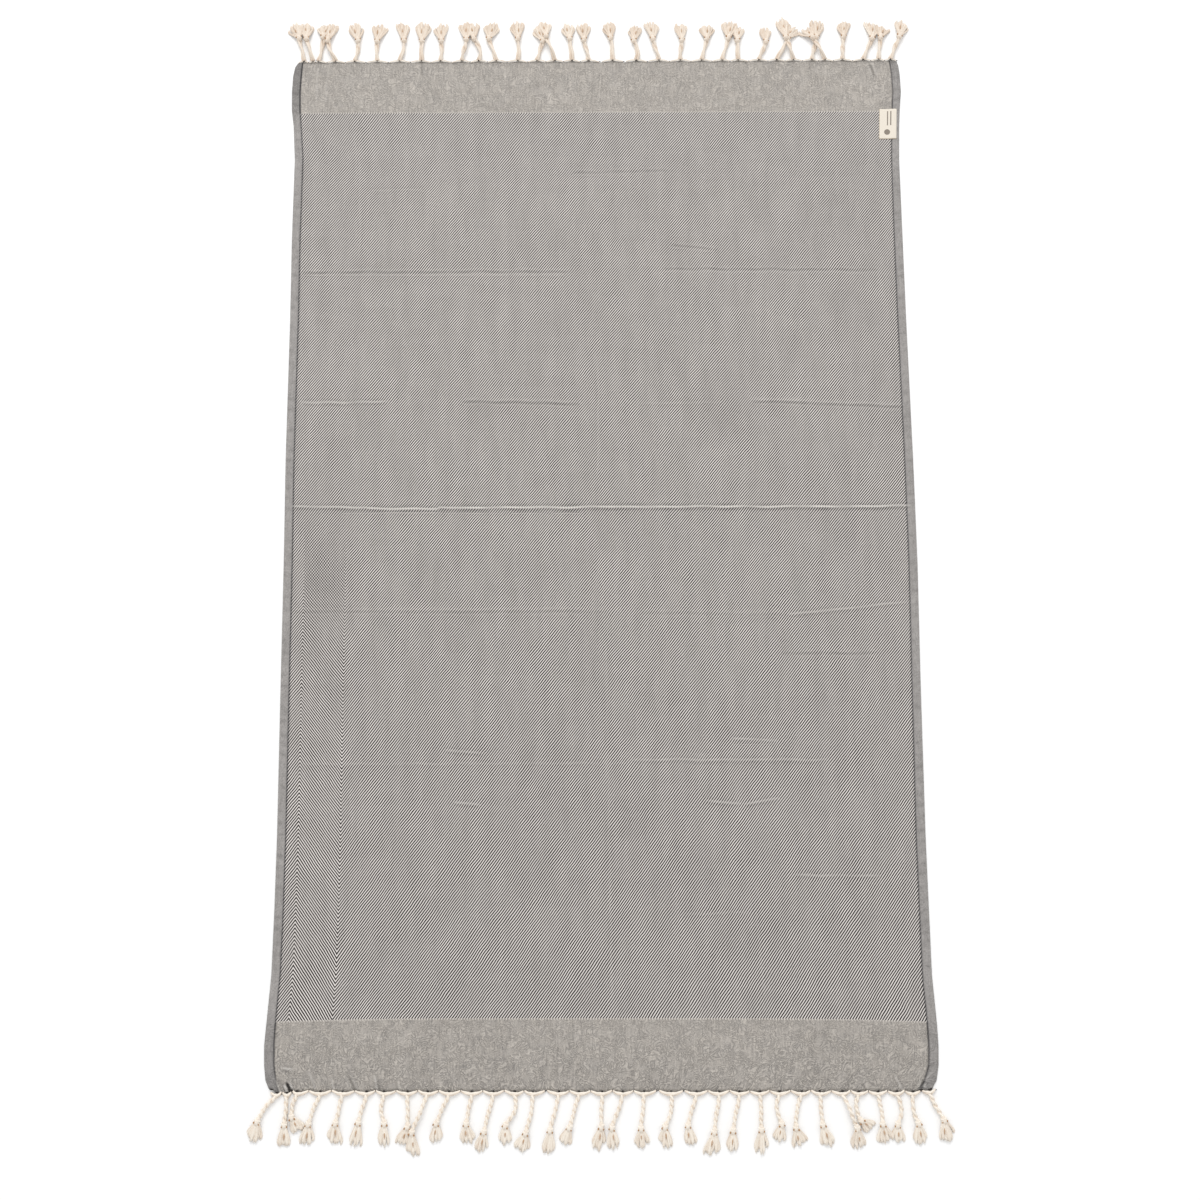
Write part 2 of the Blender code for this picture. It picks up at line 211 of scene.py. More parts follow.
# Tassels, from left to right. root: where it leaves the cloth's end, from the middle.
# lean: how far its knot lies to the right of the root. cord: from root to knot, away
# from the cloth. turn and tuft: the same two sizes from the knot to the tuft's middle.
# bow: how far the cord's middle swings to the right. lift: how far it rises to pass
# over another tassel. These two are 0 where they are left out.
Tassel = namedtuple("Tassel", "root lean cord turn tuft bow lift", defaults=(0, 0))
FAR_TASSELS = table(Tassel, (
    (-497, -9, 42, -8, 26), (-482, -12, 41, -1, 28, 0, 3), (-473, 7, 45, 3, 20, 2),
    (-444, -14, 38, 5, 29, -2, 3), (-412, 5, 38, -6, 30, 2), (-374, -1, 37, 4, 29, -1),
    (-337, 7, 38, -3, 30, 2), (-300, 0, 37, 1, 32), (-268, 1, 37, -1, 28, 1),
    (-232, 7, 39, -1, 31, 0, 3), (-204, -8, 41, -4, 26, 6), (-174, -13, 40, 7, 28),
    (-138, 0, 40, -2, 29, 1), (-106, 10, 36, -10, 26), (-76, -15, 44, -3, 26, 0, 5),
    (-47, -4, 40, -4, 27), (-19, -8, 38, -1, 28), (21, -3, 41, -2, 28, 1), (61, -4, 36, 4, 26, 4),
    (99, -10, 39, -2, 28), (135, 3, 37, -3, 28, -1), (171, 9, 39, -1, 24), (205, 11, 40, 3, 29),
    (232, -1, 36, 2, 24), (267, 12, 33, -1, 26), (297, 19, 40, 12, 18), (325, -12, 40, -6, 33, 0, 5),
    (356, 8, 41, 3, 29), (378, -20, 40, -11, 17, 0, 5), (407, 3, 42, 2, 25), (442, 16, 39, 1, 28),
    (468, 4, 40, 5, 20), (488, 16, 42, 6, 27),
))
NEAR_TASSELS = table(Tassel, (
    (-482, -27, 40, -6, 27, -3), (-467, -2, 45, -1, 30), (-452, -7, 36, 10, 20, -2),
    (-417, -16, 46, -4, 30, -1), (-384, -9, 45, -2, 27), (-348, -11, 44, -5, 31),
    (-322, 1, 45, -1, 30, -4), (-287, 1, 50, -8, 24), (-257, -22, 58, 1, 31, 0, 3),
    (-225, -18, 45, 0, 25), (-191, -8, 46, 2, 26), (-159, -13, 57, -6, 27), (-127, -13, 48, -1, 25, 7),
    (-100, -10, 59, -7, 25, 2), (-61, -13, 55, -2, 30), (-31, -14, 51, -8, 22), (3, -1, 50, -5, 30),
    (34, -16, 51, 1, 28, 1), (66, -5, 52, 2, 25), (106, -9, 50, 2, 27, 5), (144, -13, 48, 3, 25),
    (178, -8, 57, -4, 30), (208, -10, 55, -2, 28), (239, 1, 54, -1, 32), (268, 2, 46, -4, 23, -6),
    (301, -10, 51, 5, 25, -3), (328, 3, 47, 8, 28), (362, 20, 52, 2, 27, 0, 5),
    (386, 1, 41, 16, 12, -5), (415, 5, 46, 5, 24, 1), (443, 0, 47, 0, 24, 6), (467, 6, 45, 4, 27, -4),
    (491, 20, 42, 4, 29, -1),
))

# ---------- sizes of the label

LABEL_LEFT = 466.5
LABEL_RIGHT = 495.5
LABEL_NEAR = 704.0
LABEL_FAR = 758.0
LABEL_THICKNESS = 0.6
LABEL_SKEW = 2.2  # how far its near end lies further left
LABEL_BARS = ((480.5, 728.5, 754.0), (485.8, 728.5, 754.0))  # across, and its two ends
LABEL_DISC = (480.0, 716.5, 5.0)  # across, along, radius
LABEL_BAR_HALF = 0.95
LABEL_RIB = 0.9  # spacing of its ribs
# The darker border is a painted shadow along the label's left and near sides.
LABEL_SHADOW_BORDER = (0.9, 1.1)  # width of the darker border at its left and near sides
LABEL_COLUMNS = 16
LABEL_ROWS = 28
LABEL_CLEAR = 0.45  # from the field's top to its middle
LABEL_CLIMB = 1.25  # how much higher it lies on the hem
LABEL_EDGE_DROP = 0.28  # how much lower its sewn edges lie


# ---------- small helpers

def smooth(part):
    """0 below 0, 1 above 1, and an even slope between."""
    part = np.clip(part, 0.0, 1.0)
    return part * part * (3.0 - 2.0 * part)


def outline_at(y, column):
    """One column of the outline table at places along the cloth."""
    ys = [row.y for row in reversed(OUTLINE)]
    values = [getattr(row, column) for row in reversed(OUTLINE)]
    return np.interp(y, ys, values)


def far_end(x):
    """Y of the far end at a place across it."""
    return OUTLINE[0].y + FAR_EDGE_SKEW * x / 500.0


def near_end(x):
    """Y of the near end at a place across it."""
    return OUTLINE[-1].y + np.interp(x, CORNER_X, CORNER_Y)


def waves(x, y, length_x, length_y, seed, count=9):
    """Smooth uneven height between about -1 and 1, longer in one direction if asked."""
    draw = random.Random(seed)
    total = np.zeros_like(x)
    for _ in range(count):
        turn = draw.uniform(0.0, math.pi)
        pace = math.tau * draw.uniform(0.7, 1.5)
        start = draw.uniform(0.0, math.tau)
        run = x / length_x * math.cos(turn) + y / length_y * math.sin(turn)
        total += np.sin(run * pace + start)
    return total / math.sqrt(count * 2.0)


def new_object(name, data, material=None):
    """Link a mesh, camera or light into the scene, a mesh with its material."""
    made = bpy.data.objects.new(name, data)
    bpy.context.scene.collection.objects.link(made)
    if material:
        data.materials.append(material)
    return made


def grid_faces(rows, columns):
    """Faces between the points of a grid whose rows run from far to near."""
    index = np.arange(rows * columns).reshape(rows, columns)
    corners = (index[1:, :-1], index[1:, 1:], index[:-1, 1:], index[:-1, :-1])
    return np.stack(corners, axis=-1).reshape(-1, 4).tolist()


def new_mesh(name, points, faces, looks, uvs=None):
    """A smooth mesh whose points carry numbers, and their place in the weave's measure."""
    mesh = bpy.data.meshes.new(name)
    mesh.from_pydata(points, [], faces)
    for look, values in looks.items():
        layer = mesh.attributes.new(look, "FLOAT", "POINT")
        layer.data.foreach_set("value", values)
    if uvs is not None:
        corners = np.zeros(len(mesh.loops), dtype=np.int32)
        mesh.loops.foreach_get("vertex_index", corners)
        layer = mesh.uv_layers.new(name="weave")
        layer.data.foreach_set("uv", np.array(uvs)[corners].astype(np.float32).reshape(-1))
    mesh.polygons.foreach_set("use_smooth", [True] * len(mesh.polygons))
    mesh.validate()
    mesh.update()
    return mesh


# ---------- material nodes

def sign(operation):
    """A method that joins a number to another one by an operation of the math node."""
    return lambda number, other=0.0: number.shade.math(operation, number, other)


class Number:
    """A number that a node gives, so that sums can be written with plain signs."""

    __add__ = sign("ADD")
    __sub__ = sign("SUBTRACT")
    __mul__ = sign("MULTIPLY")
    __truediv__ = sign("DIVIDE")
    __pow__ = sign("POWER")
    __lt__ = sign("LESS_THAN")
    __gt__ = sign("GREATER_THAN")
    __abs__ = sign("ABSOLUTE")

    def __init__(self, shade, socket):
        self.shade = shade
        self.socket = socket

    def __rsub__(self, other):
        return self.shade.math("SUBTRACT", other, self)


class Shade:
    """A Principled material with short calls for the nodes that feed it."""

    def __init__(self, name, roughness, sheen=0.0):
        self.material = bpy.data.materials.new(name)
        self.material.use_nodes = True
        self.tree = self.material.node_tree
        self.feed("Roughness", roughness)
        self.feed("Specular IOR Level", 0.2)
        self.feed("Sheen Weight", sheen)
        self.feed("Sheen Roughness", 0.6)

    def feed(self, name, value):
        """Feed one of the material's own sockets."""
        self.put(self.tree.nodes["Principled BSDF"].inputs[name], value)

    def put(self, socket, value):
        """Feed a socket with a node's number or other output, or with a plain value."""
        if isinstance(value, Number):
            value = value.socket
        if isinstance(value, bpy.types.NodeSocket):
            self.tree.links.new(value, socket)
        else:
            socket.default_value = value

    def math(self, operation, first, second=0.0, clamp=False):
        """One sum of numbers."""
        node = self.tree.nodes.new("ShaderNodeMath")
        node.operation = operation
        node.use_clamp = clamp
        self.put(node.inputs[0], first)
        self.put(node.inputs[1], second)
        return Number(self, node.outputs[0])

    def most(self, first, second):
        """The larger of two numbers."""
        return self.math("MAXIMUM", first, second)

    def clamped(self, value):
        """A number held between 0 and 1."""
        return self.math("ADD", value, 0.0, clamp=True)

    def stripes(self, cycles):
        """Soft stripes from 0 to 1, one pair for each whole number of cycles."""
        return self.math("SINE", cycles * math.tau) * 0.5 + 0.5

    def mix(self, part, first, second):
        """A colour a part of the way from the first to the second."""
        node = self.tree.nodes.new("ShaderNodeMix")
        node.data_type = "RGBA"
        self.put(node.inputs[0], part)
        self.put(node.inputs[6], first)
        self.put(node.inputs[7], second)
        return node.outputs[2]

    def scaled(self, colour, amount):
        """A colour times a number."""
        node = self.tree.nodes.new("ShaderNodeVectorMath")
        node.operation = "SCALE"
        self.put(node.inputs[0], colour)
        self.put(node.inputs["Scale"], amount)
        return node.outputs[0]

    def ramp(self, value, low, high):
        """0 where value is at low, 1 where it is at high, smooth between."""
        node = self.tree.nodes.new("ShaderNodeMapRange")
        node.interpolation_type = "SMOOTHSTEP"
        self.put(node.inputs["Value"], value)
        self.put(node.inputs["From Min"], low)
        self.put(node.inputs["From Max"], high)
        return Number(self, node.outputs[0])

    def place(self, u, v):
        """A vector from two numbers."""
        node = self.tree.nodes.new("ShaderNodeCombineXYZ")
        self.put(node.inputs[0], u)
        self.put(node.inputs[1], v)
        return node.outputs[0]

    def noise(self, vector, scale, detail=2.0, roughness=0.5, distortion=0.0):
        """Smooth noise, about 0.5 on average."""
        node = self.tree.nodes.new("ShaderNodeTexNoise")
        self.put(node.inputs["Vector"], vector)
        self.put(node.inputs["Scale"], scale)
        self.put(node.inputs["Detail"], detail)
        self.put(node.inputs["Roughness"], roughness)
        self.put(node.inputs["Distortion"], distortion)
        return Number(self, node.outputs[0])

    def source(self, name):
        """One of the places that a point of the surface has."""
        return self.tree.nodes.new("ShaderNodeTexCoord").outputs[name]

    def uv(self):
        """The weave's own measure in millimetres: across, along."""
        split = self.tree.nodes.new("ShaderNodeSeparateXYZ")
        self.put(split.inputs[0], self.source("UV"))
        return [Number(self, output) * (1.0 / MM) for output in list(split.outputs)[:2]]

    def attribute(self, name):
        """A number that each vertex carries."""
        node = self.tree.nodes.new("ShaderNodeAttribute")
        node.attribute_name = name
        return Number(self, node.outputs["Fac"])

    def bump(self, height, distance, strength):
        """Bend the surface's normal by a height of 0 to 1, distance metres tall."""
        node = self.tree.nodes.new("ShaderNodeBump")
        self.put(node.inputs["Height"], height)
        self.put(node.inputs["Distance"], distance)
        self.put(node.inputs["Strength"], strength)
        self.feed("Normal", node.outputs[0])


def colour(*levels):
    """A linear colour from sRGB levels between 11 and 255."""
    return (*(((level / 255.0 + 0.055) / 1.055) ** 2.4 for level in levels), 1.0)


TWILL_ACROSS = 4.2  # spacing of the twill's lines across and along the cloth
TWILL_ALONG = 5.2
POINTED_LEFT = -467.1  # to the right of here the lines lean the other way
POINTED_CYCLES = 15.5  # how many lines wide that strip is
POINTED_FADE = (150.0, -250.0)  # from none of it to all of it
STEEPER = 0.0001  # how fast the lines steepen towards the near end
WANDER_SLOW = 1.8  # how many lines the twill wanders by, slowly and quickly
WANDER_QUICK = 0.35
WARP_LIGHT = colour(229, 223, 218)
WEFT_DARK = colour(34, 31, 30)
WARP_SHARE = 0.40  # average of the twill's lines, 0 all weft to 1 all warp
CRINKLES = 11.0  # contour lines of the plain bands' crinkles, from 0 to 1
BAND_LIGHT = colour(198, 191, 182)
BAND_COOL = colour(152, 153, 156)
BAND_DARK = colour(118, 114, 111)
BAND_DIP = 5.0  # how far the near band's line dips at the hems
BAND_CLIMB = 0.004  # how far the far band's line climbs for each mm across
LINE_LIGHT = colour(214, 208, 200)
LINE_DARK = colour(150, 144, 138)
LINE_HALF_NEAR = 1.1
LINE_HALF_FAR = 1.0
HEM_LIGHT = colour(170, 166, 163)
HEM_DARK = colour(124, 121, 119)
# Painted shade in the grooves beside the hems.
GROOVE_SHADE = colour(44, 44, 48)
FOLD_HIGHLIGHT = colour(187, 183, 178)
YARN_CREAM = colour(245, 237, 225)
YARN_TAN_SHADE = colour(174, 131, 88)
YARN_DARK = colour(40, 33, 29)
LABEL_LIGHT = colour(236, 229, 217)
LABEL_SHADE = colour(212, 202, 187)
LABEL_EDGE_SHADOW = colour(176, 158, 134)
LABEL_MARK = colour(108, 97, 87)


def weave_material():
    """Steep twill in the field, plain bands at the ends and plain hems down the sides."""
    shade = Shade("weave", 0.92, sheen=0.08)
    u, v = shade.uv()
    place = shade.place(u, v)
    long_place = shade.place(u, v * 0.45)
    near_wear = shade.ramp(v, -700.0, -829.0)

    # Twill lines wander a little; a pointed reversal near the left hem fades out halfway.
    slow = shade.noise(place, 0.011, 3.0) - 0.5
    quick = shade.noise(place, 0.06, 2.0) - 0.5
    near_v = shade.math("MINIMUM", v, 0.0)
    along = near_v * near_v * STEEPER + v
    shift = slow * WANDER_SLOW + quick * WANDER_QUICK - along / TWILL_ALONG
    into_strip = shade.most(u - POINTED_LEFT, 0.0)
    into_strip = shade.math("MINIMUM", into_strip, POINTED_CYCLES * TWILL_ACROSS)
    lines = shade.stripes(u / TWILL_ACROSS + shift)
    pointed = shade.stripes((u - into_strip * 2.0) / TWILL_ACROSS + shift)
    lines = lines + (pointed - lines) * shade.ramp(v, *POINTED_FADE)
    lines = shade.ramp(lines, 0.24, 0.96)
    fibres = shade.noise(long_place, 0.9, 3.0, 0.6)
    patch = shade.noise(long_place, 0.03, 3.0, 0.6)
    contrast = shade.ramp(patch, 0.32, 0.68) * 0.34 + 0.76
    contrast = contrast * (shade.ramp(v, 700.0, -700.0) * 0.24 + 0.81)
    part = (lines - WARP_SHARE) * contrast + WARP_SHARE + (fibres - 0.5) * 0.3
    field = shade.mix(part, WEFT_DARK, WARP_LIGHT)

    # Plain weave: streaks along the warp, heather, and fine crinkles.
    streaks = shade.noise(shade.place(u, v * 0.12), 0.35, 3.0, 0.6)
    heather = shade.noise(place, 0.5, 3.0, 0.7)
    contour = shade.noise(place, 0.055, 2.0, 0.55, 0.6)
    clear = shade.ramp(shade.noise(place, 0.06, 2.0), 0.30, 0.52)
    crinkle = (shade.stripes(contour * CRINKLES) - 0.5) * clear + 0.5
    plain = (streaks - 0.5) * 0.75 + 0.52 + (heather - 0.5) * 1.3
    plain = shade.clamped(plain + (crinkle - 0.5) * (near_wear * 0.13 + 0.34))
    band = shade.mix(plain, BAND_DARK, BAND_LIGHT)
    cool = shade.ramp(shade.noise(place, 0.05, 3.0, 0.6), 0.38, 0.62)
    band = shade.mix(cool * 0.06, band, BAND_COOL)
    band = shade.scaled(band, 1.02 - shade.ramp(v, -600.0, 600.0) * 0.02)

    # Each band starts at a light line: the near one dips at the hems, the far one climbs.
    dipped = (abs(u) / HALF_FIELD) ** 4.0 * BAND_DIP + v
    slanted = v - u * BAND_CLIMB
    in_band = shade.most(dipped < NEAR_BAND_START, slanted > FAR_BAND_START)
    near_line = abs(dipped - NEAR_BAND_START) < LINE_HALF_NEAR
    far_line = abs(slanted - FAR_BAND_START) < LINE_HALF_FAR
    surface = shade.mix(in_band, field, band)
    edge_row = shade.mix(shade.stripes(u / TWILL_ACROSS), LINE_DARK, LINE_LIGHT)
    surface = shade.mix(shade.most(near_line, far_line) * 0.75, surface, edge_row)

    # Hems are plain weave too, greyer. The grooves beside them get painted shade, which
    # the twill's floats break into dashes.
    hem = shade.mix(plain, HEM_DARK, HEM_LIGHT)
    surface = shade.mix(abs(u) > HALF_FIELD, surface, hem)
    dashes = shade.most(1.0 - lines * 0.6, in_band)
    surface = shade.mix(shade.attribute("groove") * dashes, surface, GROOVE_SHADE)

    # Broad tone changes, painted shade that darkens the cloth a little towards the near end,
    # and what each vertex carries.
    broad = shade.noise(place, 0.006, 3.0, 0.55)
    slubs = shade.noise(shade.place(u, v * 0.2), 0.055, 4.0, 0.65)
    picks = shade.noise(shade.place(u * 0.1, v), 0.07, 2.0)
    tone = ((broad - 0.5) * 0.12 + 1.0) * (shade.ramp(v, -900.0, 300.0) * 0.04 + 0.96)
    tone = tone + (slubs - 0.5) * 0.38 + (picks - 0.5) * 0.10
    tone = tone * shade.attribute("tone")

    # Fold lines: a crest of painted highlight (painted shade where its line is negative), with
    # soft painted shade at its sides.
    line = shade.attribute("line")
    across_fold = shade.attribute("fold") / FOLD_WIDTH
    square = across_fold * across_fold
    painted_crest = shade.math("EXPONENT", square * -0.5) * (1.0 - square) * line
    beside = shade.math("EXPONENT", square / -6.0) * abs(line)
    surface = shade.mix(shade.most(painted_crest, 0.0), surface, FOLD_HIGHLIGHT)
    tone = shade.most(tone + painted_crest * 0.38 - beside * 0.18, 0.08)
    shade.feed("Base Color", shade.scaled(surface, tone))

    # Relief: floats of the twill, threads, and the bands' crinkles.
    relief = lines * (1.0 - in_band) * 0.35 + fibres * 0.3
    relief = relief + crinkle * in_band * (near_wear * 0.7 + 0.7) * 2.6
    shade.bump(relief, 0.0006, 0.55)
    return shade.material


def yarn_material():
    """Cream cotton yarn with painted tan shade where it is shut in, and fine fibres along it."""
    shade = Shade("yarn", 0.85, sheen=0.15)
    place = shade.source("Object")
    fleck = shade.noise(place, 420.0, 3.0, 0.6)
    slow = shade.noise(place, 30.0, 2.0)
    # tint paints shade: tan where yarn is shut in, cream where it is open; flecks and slow changes vary it.
    part = shade.clamped(shade.attribute("tint") + (fleck - 0.5) * 0.35 + (slow - 0.5) * 0.2)
    surface = shade.mix(part, YARN_TAN_SHADE, YARN_CREAM)
    # The dark colour paints shade patches in gaps of the yarn, and greys the far yarn a little.
    surface = shade.mix(shade.attribute("dark_share"), surface, YARN_DARK)
    shade.feed("Base Color", surface)
    shade.bump(shade.noise(place, 1500.0, 2.0, 0.6), 0.0003, 0.35)
    return shade.material


def label_material():
    """Fine cream tape with ribs across it, two plain bars and a plain disc."""
    shade = Shade("label_weave", 0.7, sheen=0.1)
    u, v = shade.uv()
    ribs = shade.stripes(v / LABEL_RIB)
    threads = shade.noise(shade.place(u, v * 0.3), 1.4, 2.0)
    surface = shade.mix(ribs * 0.35 + threads * 0.6, LABEL_SHADE, LABEL_LIGHT)
    off_u = u - LABEL_DISC[0]
    off_v = v - LABEL_DISC[1]
    marks = off_u * off_u + off_v * off_v < LABEL_DISC[2] ** 2
    for bar_u, low, high in LABEL_BARS:
        along = abs(v - (low + high) / 2.0) < (high - low) / 2.0
        marks = shade.most(marks, (abs(u - bar_u) < LABEL_BAR_HALF) * along)
    # Painted shadow along the label's left and near edges.
    edge_shadow = shade.most(u < LABEL_LEFT + LABEL_SHADOW_BORDER[0], v < LABEL_NEAR + LABEL_SHADOW_BORDER[1])
    surface = shade.mix(edge_shadow * 0.7, surface, LABEL_EDGE_SHADOW)
    surface = shade.mix(marks * 0.85, surface, LABEL_MARK)
    shade.feed("Base Color", surface)
    shade.bump(ribs * 0.6 + threads, 0.0002, 0.4)
    return shade.material


# ---------- cloth

def row_places():
    """Places of the cloth's rows from the far end to the near end, close on creases."""
    y = OUTLINE[0].y - EDGE_ROUND
    rows = [float(OUTLINE[0].y), y]
    last = OUTLINE[-1].y + EDGE_ROUND
    while y > last + BAND_STEP:
        if y > FAR_BAND_START or y < NEAR_BAND_START + BAND_STEP:
            step = BAND_STEP
        else:
            step = COARSE_STEP
        if y < -800.0 or any(abs(y - place) < CREASE_REACH for place in ROW_CREASES):
            step = CREASE_STEP
        y -= step
        rows.append(y)
    rows[-1] = last
    rows.append(float(OUTLINE[-1].y))
    return np.array(rows)


def beside_crease(crease, number, x, y):
    """Distance to one side of a crease, and 1 along it fading to 0 past its ends."""
    run_x = crease.x1 - crease.x0
    run_y = crease.y1 - crease.y0
    length = math.hypot(run_x, run_y)
    along = ((x - crease.x0) * run_x + (y - crease.y0) * run_y) / length
    away = ((y - crease.y0) * run_x - (x - crease.x0) * run_y) / length
    away = away + 0.9 * waves(x, y, 70.0, 70.0, number, 4)
    fade = min(25.0, length * 0.3)
    ends = smooth((along + fade * 0.3) / fade) * smooth((length + fade * 0.3 - along) / fade)
    return away, ends


def crease_relief(x, y):
    """Height that all the creases add, each uneven along its length."""
    total = np.zeros_like(x)
    for number, crease in enumerate(CREASES):
        away, ends = beside_crease(crease, number, x, y)
        uneven = 0.8 + 0.35 * waves(x, y, 90.0, 500.0, number + 100, 4)
        total += crease.rise * ends * uneven * np.exp(-(away / crease.width) ** 2)
    return total


def fold_lines(x, y):
    """Distance from the strongest crease close by, and the strength of its line, which the material paints as
    highlight and shade.
    """
    distance = np.full_like(x, FOLD_REACH)
    strength = np.zeros_like(x)
    best = np.full_like(x, 0.2)
    for number, crease in enumerate(CREASES):
        away, ends = beside_crease(crease, number, x, y)
        weight = ends * np.exp(-(away / FOLD_REACH) ** 2)
        uneven = 0.85 + 0.35 * waves(x, y, 60.0, 500.0, number + 200, 4)
        line = crease.line * ends * uneven * (np.abs(away) < FOLD_REACH)
        distance = np.where(weight > best, away, distance)
        strength = np.where(weight > best, line, strength)
        best = np.maximum(best, weight)
    return distance, strength


def swell(x, y, kind):
    """Height of one of the cloth's slow unevennesses."""
    return kind.height * waves(x, y, kind.across, kind.along, kind.seed)


def cloth_relief(x, y):
    """Everything that makes the flat cloth uneven, apart from its hems."""
    height = crease_relief(x, y)
    for each in CLOTH_SWELL:
        height += swell(x, y, each)
    in_near = smooth((NEAR_BAND_START + 30.0 - y) / 60.0)
    in_far = smooth((y - FAR_BAND_START + 10.0) / 40.0)
    height += (0.6 * in_far + in_near) * swell(x, y, BAND_SWELL)
    end_pull = smooth((-790.0 - y) / 40.0) + 0.5 * smooth((y - 815.0) / 30.0)
    height += end_pull * swell(x, y, END_SWELL)
    ripples = np.exp(-((y - RIPPLE_Y) / RIPPLE_REACH) ** 2)
    height += ripples * swell(x, y, RIPPLE_SWELL)
    return height


def dent_depth(y, seed):
    """How deep the small dents across a hem are at places along it, from 0 to 1."""
    draw = random.Random(seed)
    total = np.zeros_like(y)
    place = DENT_FROM
    while place < DENT_TO:
        depth = draw.uniform(0.3, 1.0)
        total += depth * np.exp(-((y - place) / DENT_HALF) ** 2)
        place += draw.uniform(13.0, 22.0)
    return total


def reaches_of(tassels, number):
    """How far a tassel's crescent reaches to the left and to the right of its root."""
    reaches = []
    for other in (number - 1, number + 1):
        if 0 <= other < len(tassels):
            gap = abs(tassels[other].root - tassels[number].root) - NEIGHBOUR_GAP
            reaches.append(min(gap / 2.0, MOST_REACH))
        else:
            reaches.append(END_REACH)
    return reaches


def hanging(place):
    """How far down a crescent hangs, from 0 at its tips to 1 at its root."""
    return 1.0 - np.minimum(1.0, np.abs(place)) ** 2.1


def gathers(x, tassels):
    """1 at each tassel's root along a cloth end, 0 between its crescent and the next."""
    total = np.zeros_like(x)
    for number, tassel in enumerate(tassels):
        left, right = reaches_of(tassels, number)
        beside = x - tassel.root
        total = np.maximum(total, hanging(beside / np.where(beside < 0.0, left, right)))
    return total


def on_sides(rows, x, left, right):
    """Two tables' values along the towel, one for each side of it, over the grid."""
    values = np.interp(rows, HEM_TONE_Y, left)[:, None] * (x < 0.0)
    return values + np.interp(rows, HEM_TONE_Y, right)[:, None] * (x >= 0.0)


def cloth_grid():
    """Arrays over the cloth's grid: x, y, z, across in the weave's measure, and looks."""
    rows = row_places()
    left = outline_at(rows, "left")
    right = outline_at(rows, "right")
    insets, heights, groove = np.array(HEM_SECTION).T
    insets = insets / HEM_INSET
    steps = np.linspace(0.0, 1.0, FIELD_COLUMNS + 2)[1:-1]
    side_left = left[:, None] + outline_at(rows, "hem_left")[:, None] * insets[None, :]
    side_right = (right[:, None] - outline_at(rows, "hem_right")[:, None] * insets[None, :])[:, ::-1]
    inner_left = side_left[:, -1:]
    inner_right = side_right[:, :1]
    field = inner_left + (inner_right - inner_left) * steps[None, :]
    x = np.concatenate([side_left, field, side_right], axis=1)
    y = np.repeat(rows[:, None], x.shape[1], axis=1)

    # The weave's measure: the groove lies at the same value all along each hem.
    hem_u = HALF_FIELD + HEM_INSET * (1.0 - insets)
    field_u = np.interp(steps, [0.0, 1.0], [-hem_u[-1], hem_u[-1]])
    across = np.tile(np.concatenate([-hem_u, field_u, hem_u[::-1]]), (len(rows), 1))

    # Heights: the hems' section and dents over the uneven cloth.
    section = np.concatenate([heights, np.full(len(steps), FIELD_TOP), heights[::-1]])
    groove = np.concatenate([groove, np.zeros(len(steps)), groove[::-1]])
    z = np.tile(section, (len(rows), 1))
    relief = cloth_relief(x, y)
    inset = HALF_FIELD + HEM_INSET - np.abs(across)
    on_hem = smooth((HEM_INSET - inset) / 3.0) * smooth(inset / 1.5)
    slanted = DENT_SLANT * x
    dents = np.where(x < 0, dent_depth(y + slanted, 21), dent_depth(y - slanted, 22))
    z = z + relief * smooth(inset / 4.0) - DENT_DEPTH * dents * on_hem
    lip = (y > rows[1] + 0.01) | (y < rows[-2] - 0.01)
    z = np.where(lip, np.minimum(z, LIP_HEIGHT), z)
    z = np.maximum(z, LOWEST)

    # The ends: the far one runs askew, and both bulge a little where warp is gathered.
    share = smooth((y - 700.0) / 140.0)
    y = y + share * FAR_EDGE_SKEW * x / 500.0
    far_pull = smooth((y - 825.0) / 18.0) * gathers(x, FAR_TASSELS)
    near_pull = smooth((-812.0 - y) / 16.0) * gathers(x, NEAR_TASSELS)
    y = y + smooth((-800.0 - y) / 27.0) * (near_end(x) - OUTLINE[-1].y)
    y = y + FAR_GATHER.bulge * far_pull - NEAR_GATHER.bulge * near_pull

    # Looks: tone of hems, painted shade in the dents, at the gathered ends and along both ends'
    # lips, painted shade in the grooves, and fold lines that the material paints.
    hem_tone = on_sides(rows, x, HEM_TONE_LEFT, HEM_TONE_RIGHT)
    on_hem_colour = smooth((HEM_INSET + 0.5 - inset) / 2.0)
    tone = 1.0 + (hem_tone - 1.0) * on_hem_colour
    # Painted shade in the dents and where the ends are gathered into crescents.
    tone = tone - 0.24 * dents * on_hem - 0.05 * far_pull - 0.06 * near_pull
    # Painted shade along both ends, at the rounded lip.
    to_end = np.minimum(rows - rows[-1], 2.0 * (rows[0] - rows))[:, None]
    tone = tone - 0.32 * np.exp(-(to_end / 2.2) ** 2)
    fold, line = fold_lines(x, y)
    # Painted shade in the grooves, of a strength that changes along each side.
    groove_shade = groove[None, :] * on_sides(rows, x, GROOVE_SHADE_LEFT, GROOVE_SHADE_RIGHT)
    looks = {"groove": groove_shade, "tone": tone, "fold": fold, "line": line}
    return x, y, z, across, looks


